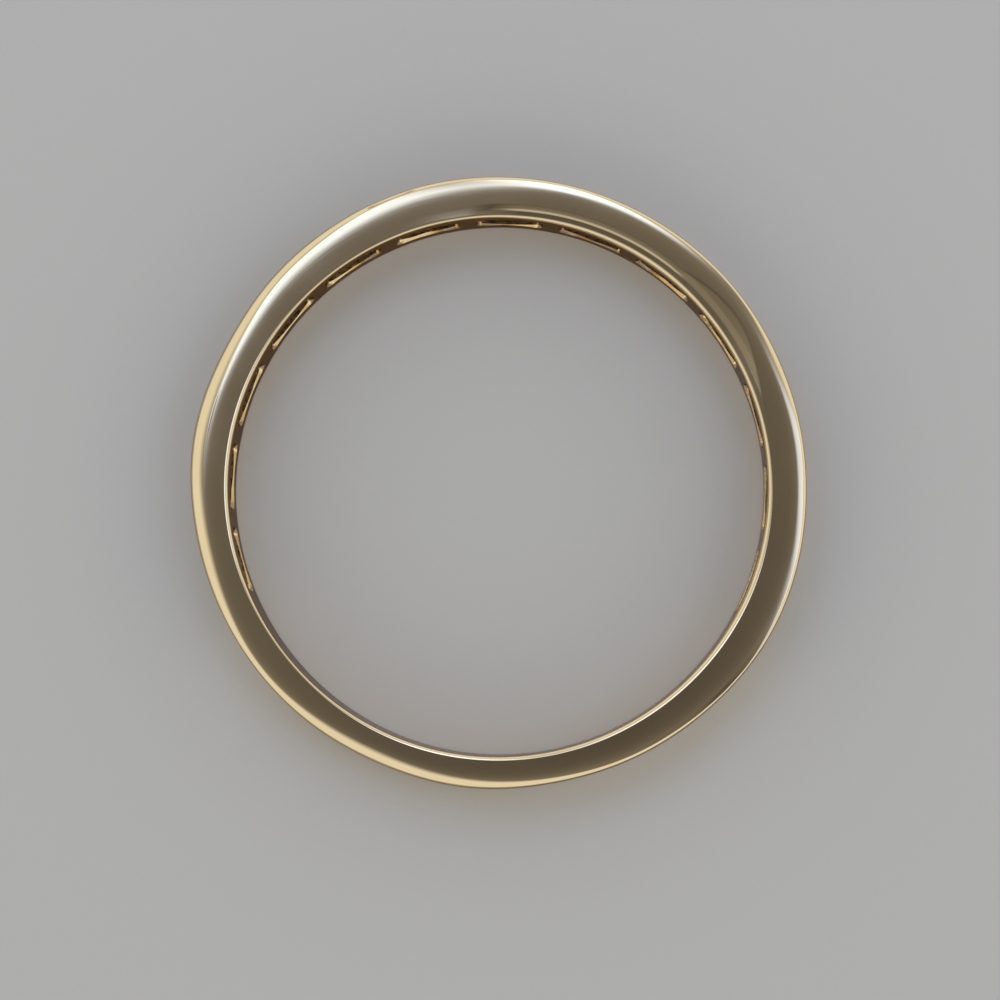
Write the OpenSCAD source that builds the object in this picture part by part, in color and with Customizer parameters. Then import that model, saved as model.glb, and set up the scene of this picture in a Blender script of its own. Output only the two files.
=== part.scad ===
// Channel set band: a gold hoop with a row of baguettes held between two walls.
// It lies on its side. The finger goes through it along Z, its lower side is at z = 0,
// the middle of the row of stones faces +Y and the plain shank is at -Y.
// All sizes are in millimetres.

/* [Hoop] */
// Diameter of the hole for the finger
inner_d = 17.3; // [16:0.1:20]
// Width of the band, measured along the finger
band_w = 2.6; // [2.5:0.05:3.2]
// Thickness of the band at the middle of the row of stones
row_t = 1.38; // [1.36:0.01:1.6]
// Thickness of the band at the bottom of the shank
shank_t = 1.09; // [1:0.01:1.3]

/* [Edges] */
// Radius of the rounding where the finger hole meets a side
inner_round = 0.15; // [0.1:0.01:0.25]
// How far the outer edge is eased, beside the middle of the row
row_ease = 0.13; // [0.11:0.01:0.2]
// How far the outer edge is eased, at the bottom of the shank
shank_ease = 0.31; // [0.25:0.01:0.4]
// Angle between the eased edge and the finger's direction
ease_angle = 50; // [40:1:60]

/* [Row of stones] */
// Number of stones
stone_n = 13; // [5:2:17]
// Angle from one stone to the next
stone_pitch = 18.15; // [18:0.05:18.4]
// Gap between two stones at their girdles
stone_gap = 0.06; // [0.04:0.01:0.1]
// Width of a stone across the band
stone_w = 1.66; // [1.6:0.01:1.7]
// Depth of a stone's table below the crest of the band
table_sink = 0.2; // [0.18:0.01:0.24]

/* [Channel] */
// How far each wall reaches over the stones
lip_reach = 0.09; // [0.06:0.01:0.11]
// Clearance between a stone and the metal
seat_gap = 0.03; // [0.02:0.01:0.04]
// Thickness of the channel's floor beside the middle of the row
floor_t = 0.54; // [0.5:0.01:0.58]

/* [Windows] */
// Length of a window around the finger
window_l = 2.02; // [1.8:0.01:2.1]
// Height of a window along the finger
window_h = 1.1; // [0.9:0.01:1.2]
// Radius of a window's corners
window_r = 0.15; // [0.1:0.01:0.25]

/* [Hidden] */
$fn = 96;

inner_r = inner_d / 2;
mid_z = band_w / 2;

// The outside is a zone of a sphere whose centre is set off towards the row,
// so the band is thickest at the middle of the row and slims evenly to the shank.
outer_r = inner_r + (row_t + shank_t) / 2;
outer_off = (row_t - shank_t) / 2;

// The flat sides end on a circle that is set off further, because the shank's edges are eased more.
side_r = outer_r - (row_ease + shank_ease) / 2;
side_off = outer_off + (shank_ease - row_ease) / 2;

// A stone's cut, from the keel up to the table.
// Columns: height above the foot of the girdle, and how far each side has come in.
keel_w = 0.03;
girdle_h = 0.05;
crown_h = 0.09;
crown_in = 0.12;
cut_steps = [
    [-0.6, (stone_w - keel_w) / 2],
    [-0.25, 0.28],
    [0, 0],
    [girdle_h, 0],
    [girdle_h + crown_h, crown_in],
    [girdle_h + 0.17, 0.30],
];
STEP_H = 0;
STEP_IN = 1;
stone_h = cut_steps[len(cut_steps) - 1][STEP_H];

// Distances from the axis of the outside: the foot of the girdle at a stone's middle,
// the underside of the lips, which clears the crown at a stone's ends, and the channel's floor.
girdle_r = outer_r - table_sink - stone_h;
stone_l = 2 * girdle_r * tan(stone_pitch / 2) - stone_gap / cos(stone_pitch / 2);
crown_under_lip = crown_h * lip_reach / crown_in;
lip_r = norm([girdle_r + girdle_h + crown_under_lip, stone_l / 2 - lip_reach]) + seat_gap;
floor_r = inner_r + floor_t - outer_off;

// Half the channel's section, from its mouth down to its floor.
// Columns: distance from the axis, and half the width there.
spare = 1;
seat_drop = 0.11;
floor_ledge = 0.1;
channel_steps = [
    [outer_r + spare, stone_w / 2 - lip_reach],
    [lip_r, stone_w / 2 - lip_reach],
    [lip_r, stone_w / 2 + seat_gap],
    [girdle_r - seat_gap, stone_w / 2 + seat_gap],
    [girdle_r - seat_gap - seat_drop, stone_w / 2 - lip_reach],
    [floor_r, window_h / 2 + floor_ledge],
];
row_angle = stone_n * stone_pitch;

// Where the turned bore's surface starts: under the bridge between two windows.
bore_start = -3;

function stone_name(i) = str("stone_", i < 10 ? "0" : "", i);
function stone_angle(i) = 90 + ((stone_n + 1) / 2 - i) * stone_pitch;
function upside_down(rows) = [for (i = [len(rows) - 1 : -1 : 0]) rows[i]];

// A ring of metal round the finger hole, wider than the band, with rounded inner edges.
module sleeve() {
    rounded_r = inner_r + inner_round;
    rotate([0, 0, bore_start]) rotate_extrude() {
        translate([rounded_r, 0]) square([outer_r + outer_off + spare - rounded_r, band_w]);
        translate([inner_r, inner_round]) square([2 * inner_round, band_w - 2 * inner_round]);
        for (z = [inner_round, band_w - inner_round]) translate([rounded_r, z]) circle(inner_round);
    }
}

// Everything inside the eased outer edge of the lower side.
module eased_side() {
    grow = tan(ease_angle);
    translate([0, side_off, -spare])
        cylinder(h = band_w + 2 * spare, r1 = side_r - spare * grow, r2 = side_r + (band_w + spare) * grow);
}

module hoop() {
    intersection() {
        sleeve();
        translate([0, outer_off, mid_z]) sphere(outer_r);
        eased_side();
        translate([0, 0, band_w]) mirror([0, 0, 1]) eased_side();
    }
}

// The trough that the stones lie in, with a groove for their girdles in each wall.
module channel() {
    upper = [for (s = channel_steps) [s[0], mid_z + s[1]]];
    lower = [for (s = upside_down(channel_steps)) [s[0], mid_z - s[1]]];
    translate([0, outer_off, 0]) rotate([0, 0, 90 - row_angle / 2])
        rotate_extrude(angle = row_angle) polygon(concat(upper, lower));
}

// A hole through the channel's floor, with rounded corners, under one stone.
module window(i) {
    translate([0, outer_off, mid_z]) rotate([0, 0, stone_angle(i)])
        translate([floor_r - 2 * floor_t, 0, 0]) rotate([90, 0, 90])
        linear_extrude(2.4 * floor_t) {
            square([window_l, window_h - 2 * window_r], center = true);
            square([window_l - 2 * window_r, window_h], center = true);
            for (x = [-1, 1], y = [-1, 1])
                translate([x * (window_l / 2 - window_r), y * (window_h / 2 - window_r)]) circle(window_r);
        }
}

module band() {
    color("goldenrod") difference() {
        hoop();
        channel();
        for (i = [1 : stone_n]) window(i);
    }
}

// A step-cut baguette: a rectangle at each height, joined by sloping facets.
// Its points are written as distance from the axis, place along the row and place across the band.
module stone(i) {
    corners = [[-1, -1], [1, -1], [1, 1], [-1, 1]];
    last = len(cut_steps) - 1;
    points = [for (s = cut_steps, c = corners)
        [girdle_r + s[STEP_H], c[0] * (stone_l / 2 - s[STEP_IN]), mid_z + c[1] * (stone_w / 2 - s[STEP_IN])]];
    sides = [for (k = [0 : last - 1], c = [0 : 3]) let (d = (c + 1) % 4)
        [4 * k + 4 + c, 4 * k + 4 + d, 4 * k + d, 4 * k + c]];
    keel = [0, 1, 2, 3];
    table = [for (c = [3 : -1 : 0]) 4 * last + c];
    color("aliceblue") translate([0, outer_off, 0]) rotate([0, 0, stone_angle(i)])
        polyhedron(points, concat([keel, table], sides));
}

band();
for (i = [1 : stone_n]) stone(i);
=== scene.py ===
# %% [markdown]
# # A channel set band
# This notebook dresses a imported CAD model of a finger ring. The ring is a slim gold hoop that lies
# on its side. Thirteen baguettes stand end to end in a channel along its outside, and each has a
# window behind it, through the inner wall. Each step below says what a piece or a finish is on
# the real ring, how Blender could make it, and why this way was chosen.

# %% Load the fixed frame
import math

import bmesh
import bpy
import numpy as np
from mathutils import Matrix, Quaternion, Vector, noise


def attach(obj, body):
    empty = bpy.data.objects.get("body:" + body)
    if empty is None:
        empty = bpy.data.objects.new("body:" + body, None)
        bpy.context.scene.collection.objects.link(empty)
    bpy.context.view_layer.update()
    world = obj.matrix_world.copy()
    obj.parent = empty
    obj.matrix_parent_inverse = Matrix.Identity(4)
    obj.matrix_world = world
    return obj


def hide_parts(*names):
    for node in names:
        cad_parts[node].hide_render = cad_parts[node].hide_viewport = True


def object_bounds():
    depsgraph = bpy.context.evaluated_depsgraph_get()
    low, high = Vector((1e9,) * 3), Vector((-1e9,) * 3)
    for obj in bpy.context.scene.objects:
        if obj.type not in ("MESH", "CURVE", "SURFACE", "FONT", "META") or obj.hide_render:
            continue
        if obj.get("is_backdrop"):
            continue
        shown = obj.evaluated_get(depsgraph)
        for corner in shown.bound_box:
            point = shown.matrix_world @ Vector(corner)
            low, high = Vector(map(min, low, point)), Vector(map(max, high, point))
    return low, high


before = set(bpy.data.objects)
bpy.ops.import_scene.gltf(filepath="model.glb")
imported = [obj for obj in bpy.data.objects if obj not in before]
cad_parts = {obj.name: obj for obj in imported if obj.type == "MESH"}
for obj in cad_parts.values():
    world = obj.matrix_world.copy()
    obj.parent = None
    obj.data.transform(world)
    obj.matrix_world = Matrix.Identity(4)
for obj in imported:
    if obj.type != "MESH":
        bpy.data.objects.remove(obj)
cad_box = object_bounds()

# %% [markdown]
# ## Sizes
# A goldsmith measures a ring in millimetres and Blender measures it in metres, so every size is
# written in millimetres times MM. The names follow the construction model: the finger goes
# through the hoop along Z, the middle of the row of stones faces +Y and the plain shank is at -Y.
# The outside is a zone of a sphere set off towards the row, so the hoop slims evenly to the shank.

# %% Sizes of the hoop
MM = 0.001
FINGER_R = 8.65 * MM
BAND_W = 2.6 * MM
HALF_W = BAND_W / 2
ROW_T, SHANK_T = 1.38 * MM, 1.09 * MM
ROW_EASE, SHANK_EASE = 0.13 * MM, 0.31 * MM
EASE_ANGLE = math.radians(50)
OUTER_R = FINGER_R + (ROW_T + SHANK_T) / 2
OUTER_OFF = (ROW_T - SHANK_T) / 2
SIDE_R = OUTER_R - (ROW_EASE + SHANK_EASE) / 2
SIDE_OFF = OUTER_OFF + (SHANK_EASE - ROW_EASE) / 2
print(f"hoop {2 * FINGER_R / MM:.1f} mm wide inside and {2 * OUTER_R / MM:.2f} mm outside")

# %% [markdown]
# The stones and the channel are worked out together, as a setter would. The pitch and the hair's
# breadth between two stones give a stone's length. The stones stand a little under the crest. In
# each wall a groove takes their girdles, and the lip over it reaches as far as their crowns allow.

# %% Sizes of the row and of the channel
STONE_N = 13
STONE_PITCH = math.radians(18.15)
STONE_GAP = 0.06 * MM
STONE_W = 1.66 * MM
TABLE_SINK = 0.2 * MM
GIRDLE_H, CROWN_H, CROWN_IN = 0.05 * MM, 0.09 * MM, 0.12 * MM
TABLE_H, TABLE_IN = 0.22 * MM, 0.3 * MM
GIRDLE_R = OUTER_R - TABLE_SINK - TABLE_H
STONE_L = 2 * GIRDLE_R * math.tan(STONE_PITCH / 2) - STONE_GAP / math.cos(STONE_PITCH / 2)

LIP_REACH, SEAT_GAP, SEAT_DROP = 0.09 * MM, 0.03 * MM, 0.11 * MM
LIP_V = STONE_W / 2 - LIP_REACH
crown_under_lip = CROWN_H * LIP_REACH / CROWN_IN
LIP_R = math.hypot(GIRDLE_R + GIRDLE_H + crown_under_lip, STONE_L / 2 - LIP_REACH) + SEAT_GAP
FLOOR_T, FLOOR_LEDGE = 0.54 * MM, 0.1 * MM
FLOOR_R = FINGER_R + FLOOR_T - OUTER_OFF
WINDOW_L, WINDOW_H, WINDOW_ROUND = 2.02 * MM, 1.1 * MM, 0.15 * MM
print(f"stone {STONE_L / MM:.2f} x {STONE_W / MM:.2f} mm, pitch {math.degrees(STONE_PITCH):.2f} degrees")

# %% [markdown]
# ## A short way to wire nodes
# Wiring nodes by hand takes many lines, so a small class adds nodes and wires them, in materials
# and in Geometry Nodes alike. A Field stands for a value that the nodes work out. Adding or
# multiplying two Fields adds a Math node, so a formula reads as on paper.

# %% Field and Wiring
class Field:
    """A value that nodes work out. Sums, differences, products and quotients add Math nodes."""

    def __init__(self, wiring, socket):
        self.wiring, self.socket = wiring, socket

    def __add__(self, other):
        return self.wiring.math("ADD", self, other)

    def __sub__(self, other):
        return self.wiring.math("SUBTRACT", self, other)

    def __mul__(self, other):
        return self.wiring.math("MULTIPLY", self, other)

    def __truediv__(self, other):
        return self.wiring.math("DIVIDE", self, other)


class Wiring:
    """The nodes of one material or tree, with a short way to add and wire them."""

    def __init__(self, group):
        self.group = group

    def wire(self, value, socket):
        """Links a Field or an output to the socket, or else sets a plain value on it."""
        value = value.socket if isinstance(value, Field) else value
        if isinstance(value, bpy.types.NodeSocket):
            self.group.links.new(value, socket)
        else:
            socket.default_value = value

    def add(self, kind, wires=None, **settings):
        node = self.group.nodes.new(kind)
        for key, value in settings.items():
            setattr(node, key, value)
        for key, value in (wires or {}).items():
            self.wire(value, node.inputs[key])
        return node

    def field(self, kind, wires=None, output=0, **settings):
        """Adds a node and gives one of its outputs as a Field."""
        return Field(self, self.add(kind, wires, **settings).outputs[output])

    def math(self, operation, *values):
        return self.field("ShaderNodeMath", dict(enumerate(values)), operation=operation)

    def split(self, vector):
        node = self.add("ShaderNodeSeparateXYZ", {0: vector})
        return [Field(self, socket) for socket in node.outputs]

    def join(self, x, y, z):
        return self.field("ShaderNodeCombineXYZ", {0: x, 1: y, 2: z})

    def ramp(self, value, stops):
        """Turns a value into a colour, by a table of places and the colours there."""
        node = self.add("ShaderNodeValToRGB", {"Fac": value})
        elements = node.color_ramp.elements
        while len(elements) < len(stops):
            elements.new(1.0)
        for element, (position, colour) in zip(elements, stops):
            element.position, element.color = position, colour
        return Field(self, node.outputs["Color"])


print("helpers for wiring:", Field.__name__, "and", Wiring.__name__)

# %% [markdown]
# ## Materials
# Fourteen carat gold reflects red best and blue least, so it is a metal with a warm base colour.
# A ring that was filed, papered and buffed by hand isn't a perfect mirror: fine lines run round
# the hoop, and its roughness drifts a little from place to place. Both come from noise on Object
# coordinates. The lines use a four-dimensional noise: the direction from the centre changes it
# slowly and the distance and height change it fast, so it is drawn out round the hoop.

# %% Polished yellow gold
class Finish(Wiring):
    """The nodes of a new material, with patterns that follow the piece's own coordinates."""

    def __init__(self, name):
        self.material = bpy.data.materials.new(name)
        self.material.use_nodes = True
        super().__init__(self.material.node_tree)

    def place(self):
        return self.field("ShaderNodeTexCoord", output="Object")

    def noise(self, scale, detail=2.0):
        return self.field("ShaderNodeTexNoise", {"Vector": self.place(), "Scale": scale, "Detail": detail})

    def bump(self, height, depth, strength=1.0):
        return self.field("ShaderNodeBump", {"Height": height, "Distance": depth, "Strength": strength})

    def dress(self, wires):
        """Wires or sets inputs of the surface, by their names, and gives the material."""
        surface = self.group.nodes["Principled BSDF"]
        for name, value in wires.items():
            self.wire(value, surface.inputs[name])
        print("material:", self.material.name, "|", len(self.group.nodes), "nodes")
        return self.material


GOLD_COLOUR = (0.9, 0.7, 0.45, 1.0)
GOLD_WARM = (0.86, 0.64, 0.38, 1.0)
# The edge tint darkens the gold's reflections at grazing angles far below real gold's: painted shade, seen
# most on the bore wall.
GRAZING_SHADE_TINT = (0.25, 0.18, 0.12, 1.0)
CLOUD_SCALE = 420.0
BUFF_LOW, BUFF_HIGH = 0.07, 0.15
LINES_ROUND, LINES_ACROSS, LINE_DETAIL = 9.0, 1800.0, 3.0
LINE_DEPTH, LINE_STRENGTH = 0.0012 * MM, 0.35

finish = Finish("polished_yellow_gold")
x, y, z = finish.split(finish.place())
flat = finish.join(x, y, 0.0)
distance = finish.field("ShaderNodeVectorMath", {0: flat}, "Value", operation="LENGTH")
direction = finish.field("ShaderNodeVectorMath", {0: flat}, operation="NORMALIZE")
drawn_out = {
    "Vector": direction,
    "W": (distance + z) * LINES_ACROSS,
    "Scale": LINES_ROUND,
    "Detail": LINE_DETAIL,
}
lines = finish.field("ShaderNodeTexNoise", drawn_out, noise_dimensions="4D")
clouds = finish.noise(CLOUD_SCALE)
# On the Mix node for colours, input 0 is the share, 6 and 7 are the colours, and output 2 is the mix.
tint = finish.field("ShaderNodeMix", {0: clouds, 6: GOLD_COLOUR, 7: GOLD_WARM}, 2, data_type="RGBA")
polish = finish.field("ShaderNodeMapRange", {"Value": clouds, "To Min": BUFF_LOW, "To Max": BUFF_HIGH})
gold = finish.dress({
    "Base Color": tint,
    "Metallic": 1.0,
    "Roughness": polish,
    "Specular Tint": GRAZING_SHADE_TINT,
    "Normal": finish.bump(lines, LINE_DEPTH, LINE_STRENGTH),
})

# %% [markdown]
# Inside the windows and in the channel no buff can reach. The gold there keeps the marks of the
# saw and the graver. One noise drives their bump and, through a colour ramp, a painted shade: a
# base colour far darker than the polished gold's, darkest in the hollows and lighter on the ridges.

# %% Sawn gold, with painted shade
SAW_GRAIN, SAW_DETAIL = 7000.0, 3.0
SAW_DEPTH = 0.02 * MM
SAWN_ROUGHNESS = 0.22
# Columns: brightness of the noise, and the metal's colour there: painted shade, darkest where the noise is
# low.
SAWN_PAINTED_SHADE = [
    (0.35, (0.2, 0.13, 0.06, 1.0)),
    (0.65, (0.6, 0.44, 0.25, 1.0)),
]

finish = Finish("sawn_yellow_gold")
saw_marks = finish.noise(SAW_GRAIN, SAW_DETAIL)
# The base colour of the sawn gold is painted shade, darkest where the bump is low.
sawn_shaded_gold = finish.dress({
    "Base Color": finish.ramp(saw_marks, SAWN_PAINTED_SHADE),
    "Metallic": 1.0,
    "Roughness": SAWN_ROUGHNESS,
    "Normal": finish.bump(saw_marks, SAW_DEPTH),
})

# %% [markdown]
# The stones are clear and bend light strongly. Their material is a smooth dielectric that lets
# light through, with the high refractive index of a cut stone and a faint cloudiness from noise,
# so that no facet looks like window glass.

# %% Clear cut stone
STONE_IOR, STONE_ROUGHNESS = 2.2, 0.02
HAZE_SCALE = 900.0
ICE_SHADES = [
    (0.0, (0.93, 0.96, 1.0, 1.0)),
    (1.0, (1.0, 1.0, 1.0, 1.0)),
]

finish = Finish("clear_cut_stone")
stone_clear = finish.dress({
    "Base Color": finish.ramp(finish.noise(HAZE_SCALE), ICE_SHADES),
    "Transmission Weight": 1.0,
    "Roughness": STONE_ROUGHNESS,
    "IOR": STONE_IOR,
})

# %% [markdown]
# ## The hoop's section
# Cut the hoop anywhere and the cut shows the same kind of outline: the bore, a rounded inner edge,
# a flat side that is buffed a little lower towards the outside, an eased outer edge, and a low
# dome. Beside the stones the dome opens into a channel. The outline could be drawn by hand as a
# curve, but here short functions work it out from the sizes, so that it can change round the
# hoop. Each gives points as (distance from the finger's axis, height over the middle). The first
# makes the bore's upper end and the inner edge, which a buff leaves flatter than a round arc.

# %% The inner edge
WINDOW_FLAT = 0.2 * MM
WINDOW_STEPS = [0, WINDOW_FLAT, WINDOW_H / 2 - WINDOW_ROUND, (WINDOW_H - WINDOW_ROUND) / 2, WINDOW_H / 2]
BORE_STEPS, ROUND_STEPS = 3, 6
INNER_ROUND = 0.125 * MM
INNER_FLATNESS = 0.35
QUARTER = math.pi / 2


def inner_edge(softer, lower):
    """softer is added to the rounding's reach over the side; lower is the share its height loses."""
    inner_round = INNER_ROUND + softer
    round_high = inner_round * (1 - lower)
    bore_top = HALF_W - round_high
    points = [(FINGER_R, v) for v in np.linspace(WINDOW_H / 2, bore_top, BORE_STEPS + 1)[1:-1]]
    for turn in np.linspace(0, QUARTER, ROUND_STEPS + 1):
        chord = turn / QUARTER
        outward = (1 - math.cos(turn)) * (1 - INNER_FLATNESS) + chord * INNER_FLATNESS
        upward = math.sin(turn) * (1 - INNER_FLATNESS) + chord * INNER_FLATNESS
        points.append((FINGER_R + inner_round * outward, bore_top + round_high * upward))
    return points


print("points from the window to the flat side:", len(inner_edge(0, 0)))

# %% [markdown]
# On the upper side, from the row's middle to the right, a ledge is scribed along the inner edge.
# It shows as a double line. Its section is a chain of short stretches, each with a slope of its
# own, since on polished metal the slope decides what a stretch mirrors. The shortest stretches
# only keep smooth shading from spreading over a sharp line. The depth at a point is what all the
# stretches further out climb together, so the ledge meets the flat side without a step.

# %% The scribed ledge
LEDGE_START = 0.010 * MM
LEDGE_FLAT, LEDGE_STEP, LEDGE_WALL = 0.07, 0.175, 0.675
# Columns: width of a stretch, from the inner edge outwards, and its slope.
LEDGE = [
    (0.054 * MM, LEDGE_FLAT),
    (0.006 * MM, LEDGE_FLAT),
    (0.008 * MM, LEDGE_STEP),
    (0.006 * MM, LEDGE_FLAT),
    (0.040 * MM, LEDGE_FLAT),
    (0.006 * MM, LEDGE_FLAT),
    (0.048 * MM, LEDGE_WALL),
    (0.027 * MM, 0.326),
    (0.035 * MM, 0.266),
    (0.035 * MM, 0.223),
    (0.035 * MM, 0.206),
    (0.025 * MM, 0.176),
    (0.010 * MM, 0.0),
]
ledge_widths, ledge_slopes = np.array(LEDGE).T
ledge_reach = LEDGE_START + np.append(0, np.cumsum(ledge_widths))
ledge_depth = np.append(np.cumsum((ledge_widths * ledge_slopes)[::-1])[::-1], 0)
print(f"ledge: {ledge_depth[0] / MM:.3f} mm deep and {ledge_reach[-1] / MM:.3f} mm wide")

# %% [markdown]
# The channel's mouth is rounded a little. Under it come the lip, the groove for the girdles, the
# seat that slopes in under the stones, and the floor with its windows. A corner is rounded with a
# curve that starts and ends at the same distance from it.

# %% The channel
CORNER_STEPS = 3
LIP_ROUND = 0.035 * MM


def dome(v, lean):
    """How far the outside is from the axis at height v. lean is 1 at the row and -1 at the shank."""
    return OUTER_R + OUTER_OFF * lean - v * v / (2 * OUTER_R)


def rounded(before, corner, after, reach):
    """Points of a curve that cuts a corner off, starting and ending at reach from it."""
    before, corner, after = (np.array(p) for p in (before, corner, after))
    a = corner + (before - corner) * min(1, reach / np.linalg.norm(before - corner))
    b = corner + (after - corner) * min(1, reach / np.linalg.norm(after - corner))
    points = []
    for t in np.linspace(0, 1, CORNER_STEPS + 1):
        points.append(tuple((1 - t) ** 2 * a + 2 * t * (1 - t) * corner + t**2 * b))
    return points


def channel(lean):
    """From the mouth's edge down to the middle of the floor."""
    mouth = rounded((dome(HALF_W, lean), HALF_W), (dome(LIP_V, lean), LIP_V), (LIP_R, LIP_V), LIP_ROUND)
    seat_r, groove_v = GIRDLE_R - SEAT_GAP, STONE_W / 2 + SEAT_GAP
    deep = [(LIP_R, LIP_V), (LIP_R, groove_v), (seat_r, groove_v), (seat_r - SEAT_DROP, LIP_V)]
    deep += [(FLOOR_R, WINDOW_H / 2 + FLOOR_LEDGE)]
    deep += [(FLOOR_R, v) for v in reversed(WINDOW_STEPS)]
    return mouth + [(r + OUTER_OFF * lean, v) for r, v in deep]


print("points from the channel's mouth to its middle:", len(channel(1)))

# %% [markdown]
# The flat side falls slowly at first and faster near its outer edge, as a buff leaves it. Then the
# eased edge runs down to the dome, with a soft corner above and a crisper one below. Its foot
# lies on the dome, which falls back with height, so its drop is worked out again and again from
# the last result until it settles.

# %% Outline of half the section
FACE_STEPS, DOME_STEPS, FOOT_ROUNDS = 10, 5, 20
CROWN_POWER = 4
CROWN_SLOPE = math.tan(math.radians(8.5))
SIDE_SHIFT = 0.09 * MM
# Shares of the flat side's width: where its last even point lies, and how far the corner may reach.
FACE_END, CORNER_START = 0.84, 0.12
# Shares of the eased edge's width: the reach of its two soft corners, and the dome's first point.
CORNER_SOFT, FOOT_SOFT, DOME_START = 0.36, 0.2, 0.5
# How far down the eased edge the point lies that keeps its slope straight.
EASE_HOLD = 0.74


def half_outline(lean, shift, in_row, wider=0.0, softer=0.0, lower=0.0):
    """shift is 1 at +X and -1 at -X; wider moves the flat side's outer edge out."""
    edge_r = SIDE_R + SIDE_OFF * lean + SIDE_SHIFT * shift + wider
    start_r = FINGER_R + (INNER_ROUND + softer)
    face_w = edge_r - start_r

    def face(t):
        fall = CROWN_SLOPE * face_w * t ** (CROWN_POWER + 1) / (CROWN_POWER + 1)
        return start_r + t * face_w, HALF_W - fall

    corner = face(1)
    drop = 0
    for _ in range(FOOT_ROUNDS):
        drop = (dome(corner[1] - drop, lean) - edge_r) / math.tan(EASE_ANGLE)
    foot = (dome(corner[1] - drop, lean), corner[1] - drop)
    ease = math.hypot(foot[0] - corner[0], drop)
    mouth_v = LIP_V + LIP_ROUND

    points = [(FINGER_R, v) for v in WINDOW_STEPS] + inner_edge(softer, lower)
    points += [face(reach / face_w) for reach in ledge_reach]
    points += [face(t) for t in np.linspace(ledge_reach[-1] / face_w, FACE_END, FACE_STEPS + 1)[1:]]
    points += rounded(face(FACE_END), corner, foot, min(CORNER_SOFT * ease, CORNER_START * face_w))
    points += [tuple(EASE_HOLD * np.array(foot) + (1 - EASE_HOLD) * np.array(corner))]
    points += rounded(corner, foot, (dome(LIP_V, lean), LIP_V), FOOT_SOFT * ease)
    heights = np.linspace(foot[1] - DOME_START * ease, mouth_v, DOME_STEPS + 1)[1:-1]
    points += [(dome(v, lean), v) for v in heights]
    inside = channel(lean)
    if not in_row:
        inside = [(dome(v, lean), v) for v in np.linspace(mouth_v, 0, len(inside))]
    return np.array(points + inside)


print("points in half a section:", len(half_outline(1, 0, True)), len(half_outline(-1, 0, False)))

# %% [markdown]
# The section becomes a small loop of points that carry the outline as attributes, once for the
# plain hoop and once for the channel: its mean, how far each point swings from shank to row and
# from side to side, and how far it moves when the outer edge is wider or the inner edge softer or
# lower. These last three come from trials to both sides of the mean.

# %% Section's outline and its swings
TRIAL, LOW_TRIAL = 0.05 * MM, 0.1


def as_vectors(flat_points):
    return np.hstack([flat_points, np.zeros((len(flat_points), 1))])


def section_at(*where, **trial):
    """The outline and its mirror image below the middle, without the two points that would double."""
    half = half_outline(*where, **trial)
    return np.vstack([half, half[-2:0:-1] * (1, -1)])


def swing(in_row, change, step):
    """How far each point moves for one unit of a change, from a trial of one step each way."""
    more, less = (section_at(0, 0, in_row, **{change: way * step}) for way in (1, -1))
    return as_vectors((more - less) / (2 * step))


section = {}
for label, in_row in (("plain", False), ("row", True)):
    crest, shank = section_at(1, 0, in_row), section_at(-1, 0, in_row)
    right, left = section_at(0, 1, in_row), section_at(0, -1, in_row)
    section[label] = as_vectors((crest + shank) / 2)
    section[label + "_lean"] = as_vectors((crest - shank) / 2)
    section[label + "_shift"] = as_vectors((right - left) / 2)
    section[label + "_edge"] = swing(in_row, "wider", TRIAL)
    section[label + "_rim"] = swing(in_row, "softer", TRIAL)
    section[label + "_low"] = swing(in_row, "lower", LOW_TRIAL)
plain_r = section["plain"][:, 0]
row_r, row_v = section["row"][:, 0], section["row"][:, 1]
print("section points:", len(plain_r))

# %% [markdown]
# More attributes say what else a point takes part in. Booleans mark the points within a window's
# height, in the bore and in the channel's floor, and those deep in the channel. Numbers say how
# much of a bump of the outside a point follows, how deep the scribed ledge is there and how far
# the point is past the inner edge. Two more are for small marks: a notch where the eased edge
# begins, and a dish, where the metal rises to the inner edge in a hollow curve. The ledge, the
# notches and the dishes are on the upper half alone.

# %% Section's marks, and its loop of points
NEAR = 1e-6 * MM
DISH_W, DISH_POWER = 0.24 * MM, 1.3

within = np.abs(row_v) < WINDOW_H / 2 + NEAR
section["bore_gap"] = within & (row_r < FINGER_R + NEAR)
section["floor_gap"] = within & ~section["bore_gap"]
outward = np.clip((plain_r - FINGER_R) / (SIDE_R - FINGER_R), 0, 1) ** 2
trough = (row_r < LIP_R - NEAR) & (np.abs(row_v) < LIP_V + 2 * LIP_REACH)
section["outward"] = outward
section["outward_row"] = np.where(trough, 0, outward)
section["deep"] = (section["outward_row"] == 0) & (row_r > FINGER_R + SEAT_GAP)

round_start = len(WINDOW_STEPS) + BORE_STEPS - 1
ledge_start = round_start + ROUND_STEPS + 1
ledge_stop = ledge_start + len(ledge_reach)
face_stop = ledge_stop + FACE_STEPS
section["ledge"] = np.zeros(len(plain_r))
section["ledge"][round_start:ledge_start] = ledge_depth[0]
section["ledge"][ledge_start:ledge_stop] = ledge_depth
section["notch"] = np.zeros(len(plain_r))
section["notch"][face_stop + CORNER_STEPS] = 1
section["past_rim"] = np.full(len(plain_r), BAND_W)
section["past_rim"][round_start:face_stop] = plain_r[round_start:face_stop] - FINGER_R - INNER_ROUND
section["dish"] = (1 - np.clip(section["past_rim"] / DISH_W, 0, 1)) ** DISH_POWER


def new_object(name, mesh):
    obj = bpy.data.objects.new(name, mesh)
    bpy.context.scene.collection.objects.link(obj)
    return obj


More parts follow.
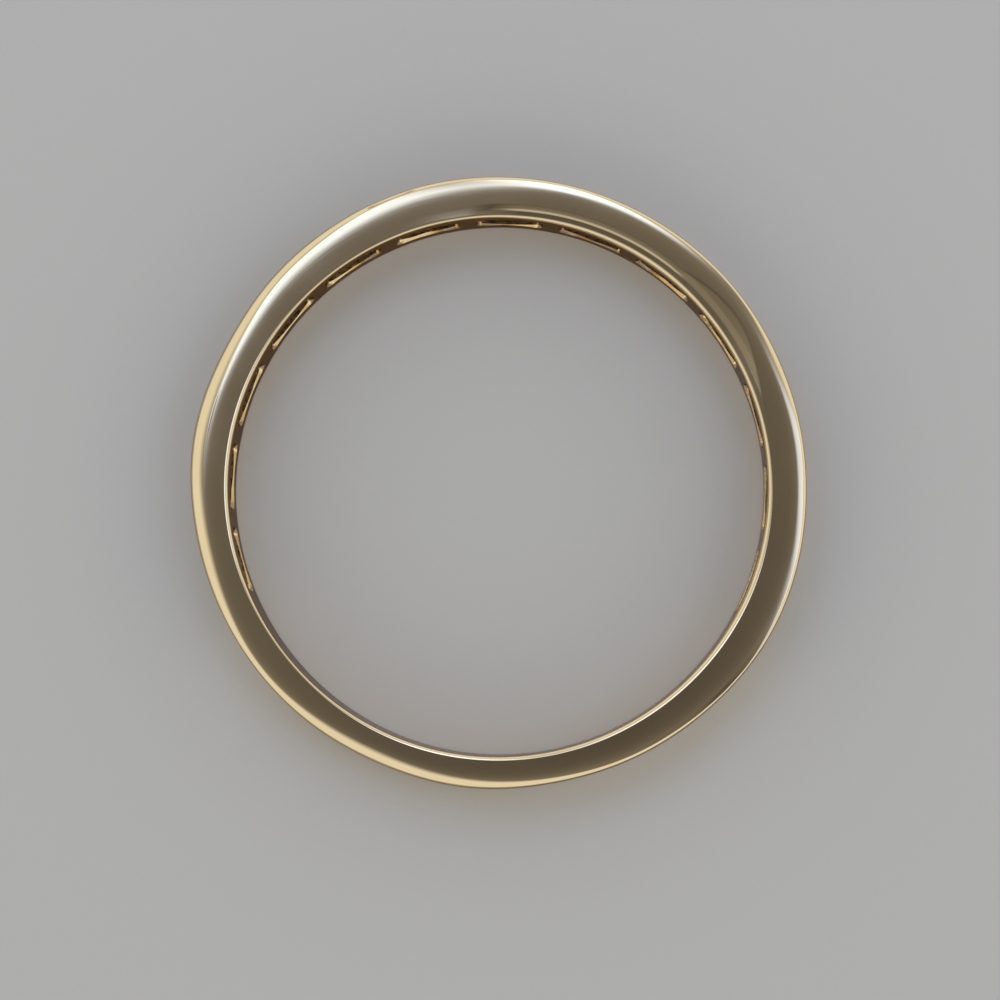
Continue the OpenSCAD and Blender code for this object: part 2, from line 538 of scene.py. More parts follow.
def loop_object(name, count, attributes):
    """Points on a circle, joined in a ring, that carry one value each for every attribute."""
    turns = np.linspace(0, 2 * math.pi, count, endpoint=False)
    mesh = bpy.data.meshes.new(name)
    circle = [(math.cos(t) * OUTER_R, math.sin(t) * OUTER_R, 0) for t in turns]
    mesh.from_pydata(circle, [(i, (i + 1) % count) for i in range(count)], [])
    for label, values in attributes.items():
        values = np.asarray(values)
        kind = "FLOAT_VECTOR" if values.ndim == 2 else "BOOLEAN" if values.dtype == bool else "FLOAT"
        data = mesh.attributes.new(label, kind, "POINT").data
        data.foreach_set("vector" if values.ndim == 2 else "value", values.ravel())
    return new_object(name, mesh)


section_loop = loop_object("section_loop", len(plain_r), section)
print("attributes:", len(section), "| points in the windows:", int(within.sum()))

# %% [markdown]
# ## Stations round the hoop
# The sections stand at stations, one every 0.6 degrees or so. Windows and the row's ends need
# stations exactly at their edges, so the turn is cut into spans at those places first and each
# span is then divided evenly. A window points at its stone's own centre, which is a little off the
# finger's axis, so its direction from the axis is worked out.

# %% Stations
STATION_STEP, STEP_SLACK = math.radians(0.62), 0.01
WALL_R = (FINGER_R + FLOOR_R + OUTER_OFF) / 2
END_WALL = math.radians(0.01)
BESIDE_WINDOW = 0.15 * MM
ROW_HALF = STONE_N * STONE_PITCH / 2
FULL_TURN = 2 * math.pi


def seen_from_finger(turn, r):
    """The direction, from the finger's axis, of the point at distance r on a stone's radius."""
    c, s = math.cos(turn), math.sin(turn)
    along = -OUTER_OFF * s + math.sqrt(r * r - (OUTER_OFF * c) ** 2)
    return math.atan2(OUTER_OFF + along * s, along * c) % FULL_TURN


stone_turns = [QUARTER + ((STONE_N + 1) / 2 - i) * STONE_PITCH for i in range(1, STONE_N + 1)]
window_turns = sorted((seen_from_finger(turn, WALL_R) + QUARTER) % FULL_TURN for turn in stone_turns)
row_ends = [math.pi - ROW_HALF, math.pi + ROW_HALF]
marks = [0, row_ends[0] - END_WALL, row_ends[0], row_ends[1], row_ends[1] + END_WALL, FULL_TURN]
for middle in window_turns:
    insets = (-BESIDE_WINDOW, 0, WINDOW_ROUND)
    marks += [middle + way * (WINDOW_L / 2 - inset) / WALL_R for way in (-1, 1) for inset in insets]
marks = sorted(marks)
stations = []
for start, end in zip(marks, marks[1:]):
    steps = math.ceil((end - start) / STATION_STEP - STEP_SLACK)
    if abs(end - start - BESIDE_WINDOW / WALL_R) < NEAR:
        steps = 1
    stations += list(np.linspace(start, end, max(1, steps) + 1)[:-1])
stations = np.array(stations)
print("stations:", len(stations), "| windows:", len(window_turns))

# %% [markdown]
# Each station carries attributes too: how far it has turned, whether it is beside the row, where
# the nearest window is, how far along it the station stands, and whether it is beside it. Three
# more say how much there is of what only one stretch of the hoop shows, with a soft rise and fall
# at its ends: the scribed ledge, a facet that was ground beside the inner edge, and the inner
# edge's full height, which the buff has lowered everywhere else.

# %% What the stations carry
# Directions, in degrees clockwise from the row's middle, at which each begins, is there in full,
# begins to fade and is gone.
SCRIBED = (-8, 3, 30, 64)
GROUND = (26, 52, 53, 73)
CRISP = (-14, 4, 112, 132)
GRIND_START, GRIND_W, GRIND_SLOPE = 0.13 * MM, 0.41 * MM, 0.25
LOWEST_ROUND = 0.72

nearest = np.array(window_turns)[np.argmin(np.abs(stations[:, None] - np.array(window_turns)), axis=1)]
along = (stations - nearest) * WALL_R
beside = (stations > row_ends[0] - END_WALL / 2) & (stations < row_ends[1] + END_WALL / 2)
clocks = (360 - np.degrees(stations)) % 360 - 180


def rise(start, full):
    """0 at the first direction and 1 at the second, softly."""
    share = np.clip((clocks - start) / (full - start), 0, 1)
    return 3 * share**2 - 2 * share**3


def stretch(begins, full, fades, gone):
    return rise(begins, full) * rise(gone, fades)


rail = loop_object("station_rail", len(stations), {
    "turn": stations - QUARTER,
    "window_turn": nearest - QUARTER,
    "along": along,
    "in_row": beside.astype(float),
    "scribed": stretch(*SCRIBED),
    "ground_reach": GRIND_START + GRIND_W * stretch(*GROUND),
    "lowered": (1 - LOWEST_ROUND) * (1 - stretch(*CRISP)),
    "in_window": np.abs(along) < WINDOW_L / 2 + NEAR,
})
print("stations beside the row:", int(beside.sum()))

# %% [markdown]
# ## The hoop's tree
# Curve to Mesh could sweep one fixed section along a circle, and a Boolean could cut windows. Here
# the sweep only makes the net of faces, and Set Position then puts every point where its station
# and its place in the section say. The windows are faces left out of that net, and their walls
# are the edges of each hole drawn out from the bore to the channel's floor. So the net stays
# clean, every window edge is exact, and the light runs smoothly over the polished sides.

# %% Start the hoop's tree and sweep its net
class Tree(Wiring):
    """A Geometry Nodes tree with named inputs for its sizes."""

    KINDS = {
        float: "NodeSocketFloat",
        bpy.types.Object: "NodeSocketObject",
        bpy.types.Material: "NodeSocketMaterial",
    }

    def __init__(self, name, **sizes):
        super().__init__(bpy.data.node_groups.new(name, "GeometryNodeTree"))
        face = self.group.interface
        face.new_socket("Geometry", in_out="INPUT", socket_type="NodeSocketGeometry")
        for label, kind in sizes.items():
            face.new_socket(label.replace("_", " "), in_out="INPUT", socket_type=self.KINDS[kind])
        face.new_socket("Geometry", in_out="OUTPUT", socket_type="NodeSocketGeometry")
        self.inlet = self.group.nodes.new("NodeGroupInput").outputs
        self.outlet = self.group.nodes.new("NodeGroupOutput").inputs

    def size(self, label):
        return Field(self, self.inlet[label])

    def attribute(self, name, kind="FLOAT"):
        return self.field("GeometryNodeInputNamedAttribute", {"Name": name}, "Attribute", data_type=kind)

    def logic(self, operation, a, b):
        return self.field("FunctionNodeBooleanMath", {0: a, 1: b}, operation=operation)

    def place(self, geometry, position, selection=True):
        wires = {"Geometry": geometry, "Selection": selection, "Position": position}
        return self.add("GeometryNodeSetPosition", wires)

    def finish(self, geometry, *materials):
        """Each material is a socket and the selection of faces that takes it."""
        dressed = self.add("GeometryNodeRealizeInstances", {"Geometry": geometry})
        for material, faces in materials:
            wires = {"Geometry": dressed.outputs[0], "Material": material, "Selection": faces}
            dressed = self.add("GeometryNodeSetMaterial", wires)
        self.wire(dressed.outputs[0], self.outlet["Geometry"])
        print("tree:", self.group.name, "|", len(self.group.nodes), "nodes")


# The second gold input takes the sawn gold, whose dark colour is painted shade.
hoop_tree = Tree(
    "hoop_with_windows", Section=bpy.types.Object, Gold=bpy.types.Material, Sawn_gold=bpy.types.Material,
    Middle_height=float, Wall_radius=float, Floor_radius=float, Floor_offset=float,
    Window_half_length=float, Window_half_height=float, Window_corner=float, Saw_wander=float,
)
profile = hoop_tree.add("GeometryNodeObjectInfo", {"Object": hoop_tree.inlet["Section"]})
profile_curve = hoop_tree.add("GeometryNodeMeshToCurve", {"Mesh": profile.outputs["Geometry"]})
path_curve = hoop_tree.add("GeometryNodeMeshToCurve", {"Mesh": hoop_tree.inlet["Geometry"]})
sweep = {"Curve": path_curve.outputs[0], "Profile Curve": profile_curve.outputs[0]}
net = hoop_tree.add("GeometryNodeCurveToMesh", sweep)
turn, in_row = hoop_tree.attribute("turn"), hoop_tree.attribute("in_row")
lean, shift = hoop_tree.math("SINE", turn), hoop_tree.math("COSINE", turn)
print("inputs of the hoop's tree:", len(hoop_tree.inlet) - 1)

# %% [markdown]
# A hoop that was filed by hand isn't quite even: the file left the outside high or low in places,
# made the flat side wider or narrower and the inner edge softer or crisper. Noise could give such
# swells, but each of these has its own place, so each is one smooth bell round the hoop, with a
# row in a table.

# %% Where the file wandered
# Columns: direction, in degrees clockwise from the row's middle; how far out, or for a notch how
# deep and for a dish how high; and half the bell's width, in degrees.
EDGE_SWELLS = [
    (-130, 0.115 * MM, 11),
    (-95, -0.040 * MM, 12),
    (-76, -0.070 * MM, 8),
    (-60, -0.060 * MM, 8),
    (-40, -0.050 * MM, 8),
    (0, -0.025 * MM, 15),
    (33, -0.055 * MM, 14),
    (65, -0.105 * MM, 8),
    (88, -0.035 * MM, 6),
    (127, 0.045 * MM, 8),
    (154, 0.100 * MM, 20),
]
RIM_SWELLS = [
    (-130, -0.048 * MM, 15),
    (-38, -0.045 * MM, 17),
    (-4, -0.035 * MM, 10),
    (34, 0.025 * MM, 10),
    (112, 0.060 * MM, 18),
    (150, 0.010 * MM, 12),
]
BUMPS = [
    (-84, 0.070 * MM, 9),
    (-62, -0.050 * MM, 8),
    (-127, -0.030 * MM, 20),
    (-17, 0.025 * MM, 10),
    (114, 0.085 * MM, 12),
    (112, 0.088 * MM, 24),
    (-159, -0.050 * MM, 9),
    (166, -0.050 * MM, 9),
]
NOTCH_DEEP, NOTCH_WIDE = 0.025 * MM, 2.2
NOTCHES = [(direction, NOTCH_DEEP, NOTCH_WIDE) for direction in (-27.5, -23.5, -19.5)]
DISH_HIGH, DISH_WIDE = 0.0045 * MM, 5
DISHES = [(direction, DISH_HIGH, DISH_WIDE) for direction in (-5, -13)]


def swell(rows):
    """The sum of one smooth bell for each row, at this station."""
    total = None
    for clock, height, spread in rows:
        away = hoop_tree.math("COSINE", turn - math.radians(90 - clock)) - 1.0
        bell = hoop_tree.math("EXPONENT", away * (1 / math.radians(spread) ** 2)) * height
        total = bell if total is None else total + bell
    return total


edge_out, rim_out = swell(EDGE_SWELLS), swell(RIM_SWELLS)
notch_in, dish_up = swell(NOTCHES), swell(DISHES)
print("swells:", len(EDGE_SWELLS) + len(RIM_SWELLS) + len(BUMPS) + len(NOTCHES) + len(DISHES))

# %% [markdown]
# Now the tree can work the outline out at any station: the mean, plus each swing times its amount
# there, blended between the plain hoop and the channel. From the height it takes what was cut
# away, the ledge or the ground facet, whichever is deeper, and the notch. A dish is added.

# %% The outline at a station
def outline_part(axis):
    """Distance (axis 0) or height (axis 1) of the section at this station."""
    swings = {"_lean": lean, "_shift": shift, "_edge": edge_out, "_rim": rim_out, "_low": lowered}
    parts = []
    for kind in ("plain", "row"):
        part = hoop_tree.split(hoop_tree.attribute(kind, "FLOAT_VECTOR"))[axis]
        for suffix, amount in swings.items():
            part = part + hoop_tree.split(hoop_tree.attribute(kind + suffix, "FLOAT_VECTOR"))[axis] * amount
        parts.append(part)
    return parts[0] + (parts[1] - parts[0]) * in_row


lowered = hoop_tree.attribute("lowered")
radius, height = outline_part(0), outline_part(1)
ledge_cut = hoop_tree.attribute("ledge") * hoop_tree.attribute("scribed")
from_rim = hoop_tree.math("MAXIMUM", hoop_tree.attribute("past_rim"), GRIND_START)
ground_cut = hoop_tree.math("MAXIMUM", hoop_tree.attribute("ground_reach") - from_rim, 0.0) * GRIND_SLOPE
cut_down = hoop_tree.math("MAXIMUM", ledge_cut, ground_cut) + hoop_tree.attribute("notch") * notch_in
face_height = height - cut_down + hoop_tree.attribute("dish") * dish_up
print("nodes so far:", len(hoop_tree.group.nodes))

# %% [markdown]
# A window's corners are rounded by moving the points near each corner of its hole from the
# square's edge onto a quarter circle. The same rule moves the hole in the bore and the hole in
# the floor, so the two still match when the walls join them. A little noise with fixed seeds then
# moves the windows' edges in and out, as a hand saw and a file would.

# %% Round the windows' corners
SAW_SCALE, SAW_SEEDS = 2500.0, (3.0, 8.0)

half_l, half_h = hoop_tree.size("Window half length"), hoop_tree.size("Window half height")
corner, wander = hoop_tree.size("Window corner"), hoop_tree.size("Saw wander")
wall_radius = hoop_tree.size("Wall radius")
along_window = hoop_tree.attribute("along")
away_x, away_y = hoop_tree.math("ABSOLUTE", along_window), hoop_tree.math("ABSOLUTE", height)


def past_corner(away, half):
    """0 where a side is straight, rising to 1 at the corner."""
    return hoop_tree.math("MAXIMUM", (away - (half - corner)) / corner, 0.0)


def sawn_noise(seed):
    """From about -0.5 to 0.5, the same each time for the same seed."""
    spot = hoop_tree.join(turn * wall_radius * SAW_SCALE, height * SAW_SCALE, seed)
    return hoop_tree.field("ShaderNodeTexNoise", {"Vector": spot, "Scale": 1.0, "Detail": 2.0}) - 0.5


reach_x, reach_y = past_corner(away_x, half_l), past_corner(away_y, half_h)
bend = (reach_x - reach_y + 1.0) * (math.pi / 4)
reach = hoop_tree.math("MAXIMUM", reach_x, reach_y)
edge_x, edge_y = (
    hoop_tree.math("MINIMUM", away, half - corner) + hoop_tree.math(wave, bend) * reach * corner
    for away, half, wave in ((away_x, half_l, "SINE"), (away_y, half_h, "COSINE"))
)
moved_x, moved_y = (
    (edge + sawn_noise(seed) * wander) * hoop_tree.math("SIGN", side)
    for edge, seed, side in zip((edge_x, edge_y), SAW_SEEDS, (along_window, height))
)
hole_turn = hoop_tree.attribute("window_turn") + moved_x / wall_radius
print("nodes so far:", len(hoop_tree.group.nodes))

# %% [markdown]
# Every point now has a turn, a height and a distance from the axis. The points of a window's edge
# take theirs from the rounded hole, and all the others take theirs from the section. The bumps
# move the outside most, the bore not at all, and never the channel that holds the stones.

# %% Place the points, with the file's bumps
in_window = hoop_tree.attribute("in_window", "BOOLEAN")
bore_gap, floor_gap = (hoop_tree.attribute(gap, "BOOLEAN") for gap in ("bore_gap", "floor_gap"))
in_hole = hoop_tree.logic("AND", in_window, hoop_tree.logic("OR", bore_gap, floor_gap))


def choose(yes, if_no, if_yes):
    wires = {"Switch": yes, "False": if_no, "True": if_yes}
    return hoop_tree.field("GeometryNodeSwitch", wires, input_type="FLOAT")


final_turn = choose(in_hole, turn, hole_turn)
final_height = choose(in_hole, face_height, moved_y) + hoop_tree.size("Middle height")


def at(r):
    x, y = (hoop_tree.math(wave, final_turn) * r for wave in ("COSINE", "SINE"))
    return hoop_tree.join(x, y, final_height)


plain_outward, row_outward = hoop_tree.attribute("outward"), hoop_tree.attribute("outward_row")
bumped = radius + swell(BUMPS) * (plain_outward + (row_outward - plain_outward) * in_row)
placed = hoop_tree.place(net.outputs[0], at(bumped))
print("nodes so far:", len(hoop_tree.group.nodes))

# %% [markdown]
# Deleting the faces inside each window leaves two holes, one in the bore and one in the floor. The
# bore's rim is extruded by nothing and its new edge is set on the floor's rim, so the walls are
# straight and meet it point for point. Welding closes the seam. The walls are remembered in an
# attribute, since they and the channel get the sawn gold, whose dark colour is painted shade.

# %% Cut the windows and draw out their walls
WELD = 0.0005 * MM

opened = placed.outputs[0]
for gap in (bore_gap, floor_gap):
    wires = {"Geometry": opened, "Selection": hoop_tree.logic("AND", in_window, gap)}
    opened = hoop_tree.add("GeometryNodeDeleteGeometry", wires, domain="FACE").outputs[0]
faces_beside = hoop_tree.field("GeometryNodeInputMeshEdgeNeighbors")
# On the Compare node, inputs 0 and 1 are its fractions, and 2 and 3 its whole numbers.
wires = {2: faces_beside, 3: 1}
on_rim = hoop_tree.field("FunctionNodeCompare", wires, data_type="INT", operation="EQUAL")
wires = {"Mesh": opened, "Selection": hoop_tree.logic("AND", on_rim, bore_gap), "Offset Scale": 0.0}
walls = hoop_tree.add("GeometryNodeExtrudeMesh", wires, mode="EDGES")
floor_radius = hoop_tree.size("Floor radius") + hoop_tree.size("Floor offset") * lean
joined = hoop_tree.place(walls.outputs["Mesh"], at(floor_radius), walls.outputs["Top"])
wires = {"Geometry": joined.outputs[0], "Name": "sawn", "Value": walls.outputs["Side"]}
marked = hoop_tree.add("GeometryNodeStoreNamedAttribute", wires, data_type="BOOLEAN", domain="FACE")
welded = hoop_tree.add("GeometryNodeMergeByDistance", {"Geometry": marked.outputs[0], "Distance": WELD})
smooth = hoop_tree.add("GeometryNodeSetShadeSmooth", {"Geometry": welded.outputs[0], "Shade Smooth": True})
beside_row = hoop_tree.field("FunctionNodeCompare", {0: in_row, 1: 0.5}, operation="GREATER_THAN")
in_channel = hoop_tree.logic("AND", hoop_tree.attribute("deep", "BOOLEAN"), beside_row)
# The channel's deep faces and the windows' walls take the sawn gold, whose dark colour is painted shade.
rough_and_shaded = hoop_tree.logic("OR", in_channel, hoop_tree.attribute("sawn", "BOOLEAN"))
hoop_tree.finish(smooth.outputs[0], (hoop_tree.inlet["Gold"], True), (hoop_tree.inlet["Sawn gold"], rough_and_shaded))

# %% [markdown]
# A modifier's inputs are set by each socket's identifier, before the object is first evaluated.
# Then new_from_object on the evaluated object turns what the tree made into a plain mesh, and
# the modifier is gone, because the piece has to be an ordinary mesh when it meets the frame.

# %% Run the hoop's tree and keep its result as a plain mesh
SAW_WANDER = 0.08 * MM


def plain_mesh(obj):
    """The object's evaluated mesh, as a new mesh that no modifier makes."""
    bpy.context.view_layer.update()
    graph = bpy.context.evaluated_depsgraph_get()
    mesh = bpy.data.meshes.new_from_object(obj.evaluated_get(graph))
    obj.modifiers.clear()
    return mesh


def run_tree(tree, start, **sizes):
    modifier = start.modifiers.new(tree.group.name, "NODES")
    modifier.node_group = tree.group
    inputs = [item for item in tree.group.interface.items_tree if item.in_out == "INPUT"]
    sockets = {item.name: item.identifier for item in inputs}
    for label, value in sizes.items():
        modifier[sockets[label.replace("_", " ")]] = value
    return plain_mesh(start)


def count_triangles(mesh):
    return sum(len(face.vertices) - 2 for face in mesh.polygons)


hoop_mesh = run_tree(
    hoop_tree, rail, Section=section_loop, Gold=gold, Sawn_gold=sawn_shaded_gold, Middle_height=HALF_W,
    Wall_radius=WALL_R, Floor_radius=FLOOR_R, Floor_offset=OUTER_OFF, Window_half_length=WINDOW_L / 2,
    Window_half_height=WINDOW_H / 2, Window_corner=WINDOW_ROUND, Saw_wander=SAW_WANDER,
)
for helper in (rail, section_loop):
    bpy.data.objects.remove(helper)
print("hoop:", len(hoop_mesh.vertices), "points,", count_triangles(hoop_mesh), "triangles")

# %% [markdown]
# The net should be a closed surface now, like the real metal's skin. That is measured by counting
# the edges that don't have exactly two faces. The faces are turned outwards, and the working
# attributes are taken off.

# %% Close and turn the hoop
def tidy_mesh(mesh):
    """Turns the faces outwards, says whether the surface is closed, and drops working attributes."""
    work = bmesh.new()
    work.from_mesh(mesh)
    bmesh.ops.recalc_face_normals(work, faces=work.faces)
    open_edges = sum(1 for edge in work.edges if len(edge.link_faces) != 2)
    volume = work.calc_volume()
    work.to_mesh(mesh)
    work.free()
    builtin = ("position", "sharp_face", "sharp_edge", "material_index")
    for label in [a.name for a in mesh.attributes if a.name not in builtin and not a.name.startswith(".")]:
        mesh.attributes.remove(mesh.attributes[label])
    return open_edges, volume


open_edges, volume = tidy_mesh(hoop_mesh)
print("hoop open edges:", open_edges, "| volume", round(volume / MM**3, 1), "mm3")

# %% [markdown]
# A window that was sawn by hand has broken edges, and the file broke them unevenly: most at the
# window's ends, and elsewhere by chance. A Bevel modifier breaks them, with its width weighed edge
# by edge. The far edges, in the channel, are only just broken.

# %% Break the windows' edges
EDGE_BREAK = 0.15 * MM
SHARP_FROM = math.radians(38)
FAR_SHARE, FILED_LEAST, END_SHARE, CHANCE_SHARE, CHANCE_FROM = 0.16, 0.1, 0.95, 2.2, 0.1
FILED_EVERY, END_BLOB = 0.4 * MM, 0.24 * MM
# How far past the bore, the channel's floor and a window's height an edge may lie and still count.
BORE_SPARE, FLOOR_SPARE, WINDOW_SPARE = 0.001 * MM, 0.01 * MM, 0.03 * MM


def filed_share(spot):
    """How much of the bevel's width the file took here: most at a window's ends, else by chance."""
    turned = (math.atan2(spot.y, spot.x) + QUARTER) % FULL_TURN
    from_end = min(abs(abs(turned - middle) * WALL_R - WINDOW_L / 2) for middle in window_turns)
    at_end = math.exp(-(from_end / END_BLOB) ** 2)
    by_chance = max(0.0, noise.noise(spot / FILED_EVERY) - CHANCE_FROM)
    return min(1.0, FILED_LEAST + END_SHARE * at_end + CHANCE_SHARE * by_chance)


def weigh_edges(mesh):
    """Gives each sharp edge of a window its share of the bevel's width, and counts those edges."""
    work = bmesh.new()
    work.from_mesh(mesh)
    layer = work.edges.layers.float.new("bevel_weight_edge")
    weighed = 0
    for edge in work.edges:
        if len(edge.link_faces) != 2 or edge.calc_face_angle() < SHARP_FROM:
            continue
        reach = max(v.co.xy.length for v in edge.verts)
        low = max(abs(v.co.z - HALF_W) for v in edge.verts) < WINDOW_H / 2 + WINDOW_SPARE
        if reach < FINGER_R + BORE_SPARE:
            edge[layer] = filed_share((edge.verts[0].co + edge.verts[1].co) / 2)
        elif low and reach < FLOOR_R + OUTER_OFF + FLOOR_SPARE:
            edge[layer] = FAR_SHARE
        weighed += edge[layer] > 0
    work.to_mesh(mesh)
    work.free()
    return weighed


print("edges to break:", weigh_edges(hoop_mesh))
hoop = new_object("gold_band", hoop_mesh)
bevel = hoop.modifiers.new("edge_break", "BEVEL")
bevel.width, bevel.segments, bevel.limit_method, bevel.material = EDGE_BREAK, 1, "WEIGHT", 0
bevel.use_clamp_overlap = False
hoop.data = plain_mesh(hoop)
hoop.data.set_sharp_from_angle(angle=SHARP_FROM)
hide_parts("band")
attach(hoop, "root")
print("gold_band:", count_triangles(hoop.data), "triangles")

# %% [markdown]
# ## The baguettes
# A step-cut baguette is a small oblong block whose facets lie in steps, like a low roof over the
# girdle and a deep keel under it. The tree starts from a box with a ring of points at each level
# and moves every ring to the height and the inset that a short table gives. The stone then goes
# to its own place round the row. One tree, run once for each stone, makes all thirteen.

# %% Build the baguette's tree
KEEL_W = 0.03 * MM
# Columns: height over the foot of the girdle, and how far each side has come in.
CUT_STEPS = [
    (-0.60 * MM, (STONE_W - KEEL_W) / 2),
    (-0.43 * MM, 0.53 * MM),
    (-0.25 * MM, 0.28 * MM),
    (0.0, 0.0),
    (GIRDLE_H, 0.0),
    (GIRDLE_H + CROWN_H, CROWN_IN),
    (TABLE_H, TABLE_IN),
]
LEVELS = len(CUT_STEPS)

cut_tree = Tree(
    "step_cut_baguette", Stone=bpy.types.Material, Length=float, Width=float, Girdle_radius=float,
    Turn=float, Centre_offset=float, Middle_height=float,
)
block = cut_tree.add("GeometryNodeMeshCube", {"Size": (1.0, 1.0, 1.0), "Vertices Z": LEVELS})
x, y, z = cut_tree.split(cut_tree.field("GeometryNodeInputPosition"))
level = cut_tree.math("ROUND", (z + 0.5) * (LEVELS - 1.0))


def from_table(name):
    """The value that the table, carried by the tree's own points, gives for this level."""
    wires = {"Geometry": cut_tree.inlet["Geometry"], "Value": cut_tree.attribute(name), "Index": level}
    return cut_tree.field("GeometryNodeSampleIndex", wires, data_type="FLOAT", domain="POINT")


inset, above = from_table("inset"), from_table("above")
lengthwise = cut_tree.math("SIGN", x) * (cut_tree.size("Length") * 0.5 - inset)
across = cut_tree.math("SIGN", y) * (cut_tree.size("Width") * 0.5 - inset)
stone_r = cut_tree.size("Girdle radius") + above
cosine, sine = (cut_tree.math(wave, cut_tree.size("Turn")) for wave in ("COSINE", "SINE"))
spot = cut_tree.join(stone_r * cosine - lengthwise * sine,
                     stone_r * sine + lengthwise * cosine + cut_tree.size("Centre offset"),
                     across + cut_tree.size("Middle height"))
cut = cut_tree.place(block.outputs["Mesh"], spot)
faceted = cut_tree.add("GeometryNodeSetShadeSmooth", {"Geometry": cut.outputs[0], "Shade Smooth": False})
cut_tree.finish(faceted.outputs[0], (cut_tree.inlet["Stone"], True))

# %% [markdown]
# On the real ring each stone is cut and set by itself, so each is a piece of its own here, over
# its own solid of the CAD model. They are all alike and only turn on from one to the next.

# %% Cut and set the thirteen stones
above, inset = np.array(CUT_STEPS).T
for number, stone_turn in enumerate(stone_turns, start=1):
    levels = loop_object("cut_levels", LEVELS, {"above": above, "inset": inset})
    mesh = run_tree(cut_tree, levels, Stone=stone_clear, Length=STONE_L, Width=STONE_W,
                    Girdle_radius=GIRDLE_R, Turn=stone_turn, Centre_offset=OUTER_OFF, Middle_height=HALF_W)
    bpy.data.objects.remove(levels)
    open_edges, volume = tidy_mesh(mesh)
    baguette = new_object(f"baguette_{number:02d}", mesh)
    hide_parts(f"stone_{number:02d}")
    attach(baguette, "root")
print("baguettes:", STONE_N, "| facets each:", len(mesh.polygons), "| open edges:", open_edges)
print("volume of each:", round(volume / MM**3, 3), "mm3")

# %% [markdown]
# ## The set
# The ring lies on plain pale paper. It is one large square, and a little gloss keeps it from
# looking like chalk. It belongs to the set and not to the ring, so the frame is told to stage it.

# %% Floor
FLOOR_SIZE = 0.6
FLOOR_TONE = (0.64, 0.58, 0.53, 1.0)
PAPER_ROUGHNESS, PAPER_GLOSS = 0.75, 0.2

floor_mesh = bpy.data.meshes.new("floor")
corners = [(x * FLOOR_SIZE / 2, y * FLOOR_SIZE / 2, 0) for x, y in ((-1, -1), (1, -1), (1, 1), (-1, 1))]
floor_mesh.from_pydata(corners, [], [(0, 1, 2, 3)])
floor_mesh.materials.append(Finish("pale_paper").dress({
    "Base Color": FLOOR_TONE,
    "Roughness": PAPER_ROUGHNESS,
    "Specular IOR Level": PAPER_GLOSS,
}))
floor = new_object("floor", floor_mesh)
floor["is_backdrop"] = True
print("floor:", FLOOR_SIZE, "m wide")

# %% [markdown]
# A polished side is a mirror, so it mostly shows what is above it, and a dim ceiling is what gives
# it its quiet grey-brown. The eased edges and the bore look sideways, at bright walls. A picture
# of a room could give both, but a ramp of five tones over how far a direction leans is enough.

# %% World: a dim ceiling and bright walls
# Columns: how far a direction leans from straight up (its sine), and the colour seen there.
ROOM = [
    (0.0, (0.062, 0.061, 0.060, 1.0)),
    (0.06, (0.108, 0.107, 0.104, 1.0)),
    (0.17, (0.150, 0.148, 0.144, 1.0)),
    (0.35, (0.200, 0.200, 0.194, 1.0)),
    (0.94, (0.86, 0.92, 0.90, 1.0)),
]

world = bpy.data.worlds.new("studio")
bpy.context.scene.world = world
world.use_nodes = True
sky = Wiring(world.node_tree)
heading = sky.field("ShaderNodeTexCoord", output="Generated")
sideways = sky.field("ShaderNodeVectorMath", {0: heading, 1: (1.0, 1.0, 0.0)}, operation="MULTIPLY")
leaning = sky.field("ShaderNodeVectorMath", {0: sideways}, "Value", operation="LENGTH")
sky.wire(sky.ramp(leaning, ROOM), world.node_tree.nodes["Background"].inputs["Color"])
print("tones of the room:", len(ROOM))

# %% [markdown]
# Three boxes of soft light hang round the far side of the ring: one to the left, one beyond the
# row and one to the right. The long bright arc near the ring's outer edge is their mirror image,
# so their places and turns decide where it starts and how wide it is. A box dims towards its ends
# and towards the ring, as a cloth front does, and so the arc fades instead of breaking off. Their
# light is a cool daylight, which the gold warms.

# %% Softboxes
SOFTBOX_HIGH, SOFTBOX_DEEP = 0.30, 0.15
DAYLIGHT = (0.48, 0.64, 1.0)
INNER_FADE = 0.2
# Columns: name, direction clockwise from the row's middle and turn of the box on itself, both in
# degrees, distance from the ring's axis, width, radiance, and the share of its width that dims
# towards each end.
SOFTBOXES = [
    ("left_softbox", -42, 0, 0.135, 0.18, 2.0, 0.3),
    ("far_softbox", 6, 18, 0.166, 0.12, 2.4, 0.35),
    ("right_softbox", 88, 8, 0.144, 0.17, 1.5, 0.2),
]


def fade_edges(light, end_fade):
    """Dims the light towards both ends, and towards the edge that is nearest to the ring's axis."""
    light.use_nodes = True
    glow = Wiring(light.node_tree)
    along, across, _ = glow.split(glow.field("ShaderNodeNewGeometry", output="Parametric"))
    strength = None
    for place, edge, reach in ((across, 1.0, INNER_FADE), (along, 0.0, end_fade), (along, 1.0, end_fade)):
        wires = {"Value": place, "From Min": edge, "From Max": abs(edge - reach)}
        share = glow.field("ShaderNodeMapRange", wires, interpolation_type="SMOOTHSTEP")
        strength = share if strength is None else share * strength
    glow.wire(strength, light.node_tree.nodes["Emission"].inputs["Strength"])


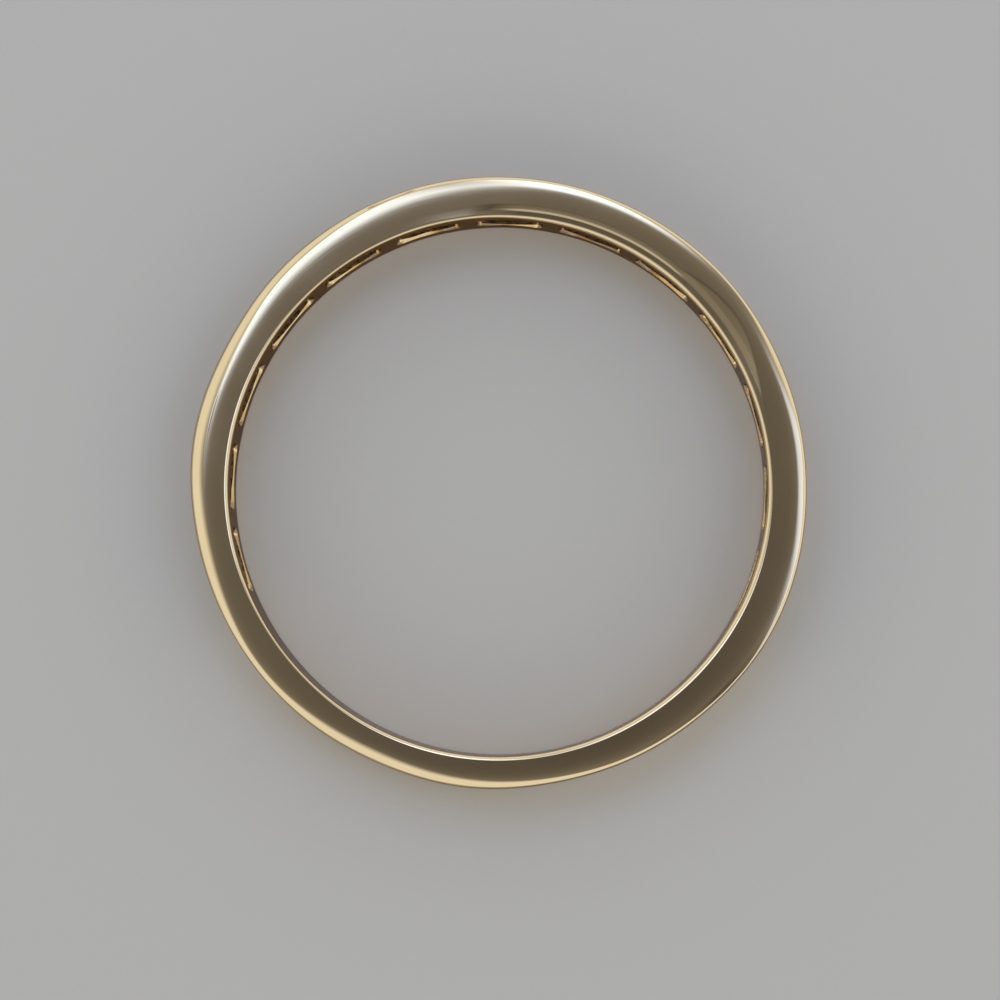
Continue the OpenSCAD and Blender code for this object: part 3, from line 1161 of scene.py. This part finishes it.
for name, clock, turned, away, wide, radiance, end_fade in SOFTBOXES:
    light = bpy.data.lights.new(name, "AREA")
    light.shape, light.size, light.size_y = "RECTANGLE", wide, SOFTBOX_DEEP
    light.energy = radiance * math.pi * wide * SOFTBOX_DEEP
    light.color = DAYLIGHT
    fade_edges(light, end_fade)
    lamp = new_object(name, light)
    bearing = math.radians(90 - clock)
    lamp.location = (away * math.cos(bearing), away * math.sin(bearing), SOFTBOX_HIGH)
    aim = Vector((0, 0, 0)) - lamp.location
    lamp.rotation_mode = "QUATERNION"
    lamp.rotation_quaternion = aim.to_track_quat("-Z", "Y") @ Quaternion((0, 0, 1), math.radians(turned))
print("softboxes:", len(SOFTBOXES), "|", SOFTBOX_HIGH, "m up")

# %% [markdown]
# ## The camera
# The photograph looks almost straight down, from a hand's width above the ring. The camera
# stands a few degrees off the axis, towards the shank and the right, so the inner wall shows
# under the row. It is rolled a little, because the ring doesn't lie square in the picture.

# %% Camera
CAMERA_HIGH = 0.102
TILT_DOWN, TILT_RIGHT = math.radians(3.15), math.radians(1.5)
ROLL = math.radians(2.45)
AIM_RIGHT, AIM_UP = 0.091 * MM, -0.456 * MM
LENS, SENSOR = 114.95, 36.0
NEAREST, FARTHEST = 0.005, 5.0

right = Vector((math.cos(ROLL), math.sin(ROLL), 0))
up = Vector((-math.sin(ROLL), math.cos(ROLL), 0))
top_centre = Vector((0, 0, BAND_W))
camera_data = bpy.data.cameras.new("camera")
camera_data.lens, camera_data.sensor_width = LENS, SENSOR
camera_data.clip_start, camera_data.clip_end = NEAREST, FARTHEST
camera = new_object("camera", camera_data)
off_axis = right * CAMERA_HIGH * math.tan(TILT_RIGHT) - up * CAMERA_HIGH * math.tan(TILT_DOWN)
camera.location = top_centre + off_axis + Vector((0, 0, CAMERA_HIGH))
target = top_centre + right * AIM_RIGHT + up * AIM_UP
forward = (target - camera.location).normalized()
side = forward.cross(up).normalized()
camera_up = side.cross(forward)
camera.rotation_mode = "QUATERNION"
camera.rotation_quaternion = Matrix((side, camera_up, -forward)).transposed().to_quaternion()
bpy.context.scene.camera = camera
bpy.context.scene.view_settings.view_transform = "Standard"
print("camera to ring:", round((target - camera.location).length / MM), "mm")

# %% [markdown]
# ## The end
# The dressed ring is measured the same way as the CAD model was at the start, and both boxes are
# written down together, so that anyone can see that it kept its size.

# %% Sizes of both models, and the end
model_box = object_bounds()
for label, box in (("CAD", cad_box), ("visual", model_box)):
    print(label, "box in mm:", [round(v / MM, 3) for c in box for v in c])
